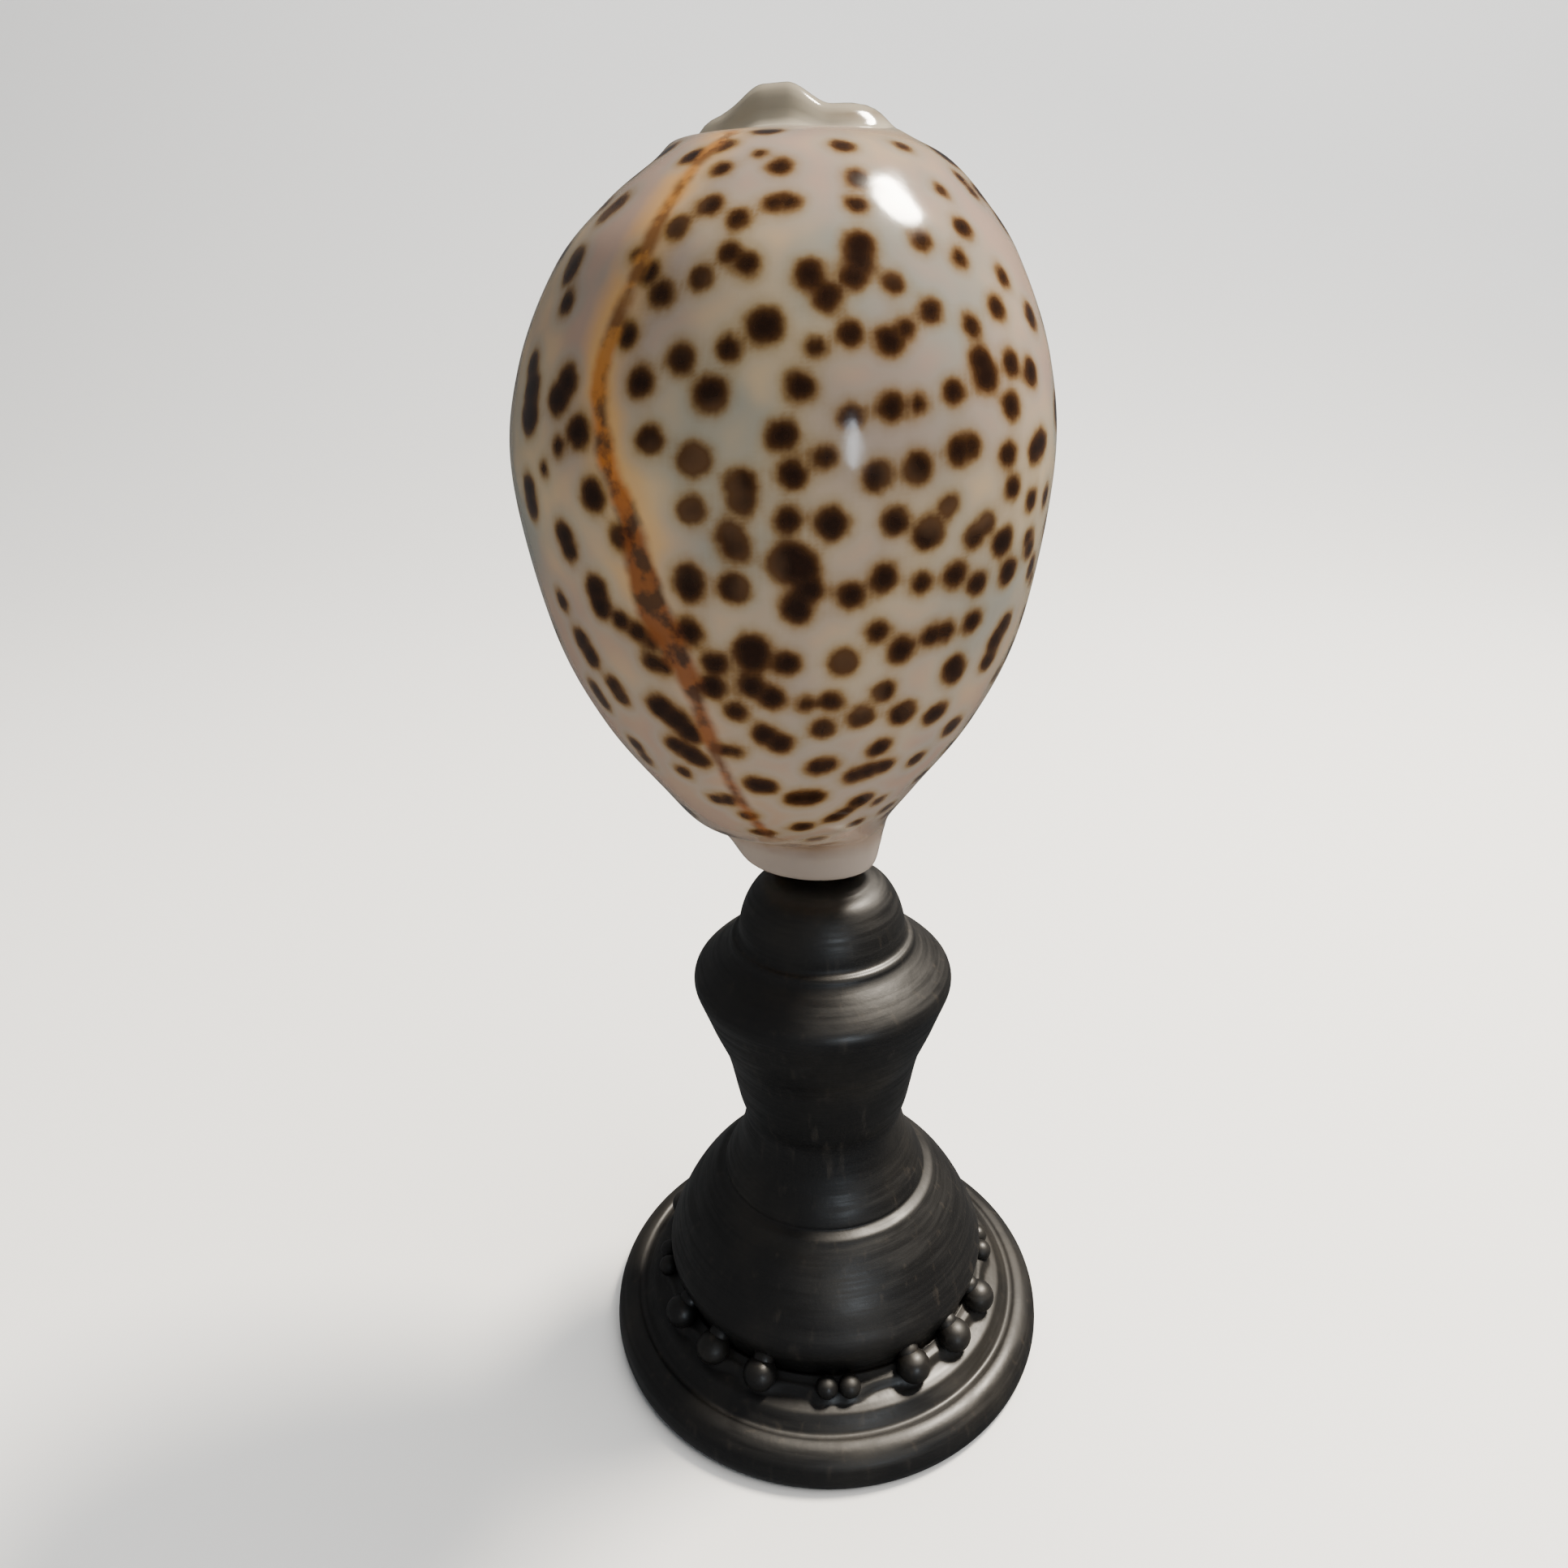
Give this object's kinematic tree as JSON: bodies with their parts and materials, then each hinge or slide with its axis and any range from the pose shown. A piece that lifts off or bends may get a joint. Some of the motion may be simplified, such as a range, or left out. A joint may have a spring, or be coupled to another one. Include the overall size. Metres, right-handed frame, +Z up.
{
  "type": "mounted tiger cowrie shell",
  "caption": "Spotted egg-shaped cowrie shell with a toothed slit along its base, standing upright on a turned black stand.",
  "frame": {"origin": "centre of the stand's flat underside, on the turning axis of the stand", "axes": "+Z up along the stand's turning axis; -Y towards the viewer of the picture, who sees the shell's domed back; +X to that viewer's right"},
  "size_m": [0.0618, 0.0606, 0.1559],
  "materials": {
    "shell": "gloss",
    "stand": "satin",
    "glue": "gloss"
  },
  "bodies": {
    "root": {"shell": "shell", "stand": "stand", "glue": "glue"}
  },
  "joints": []
}
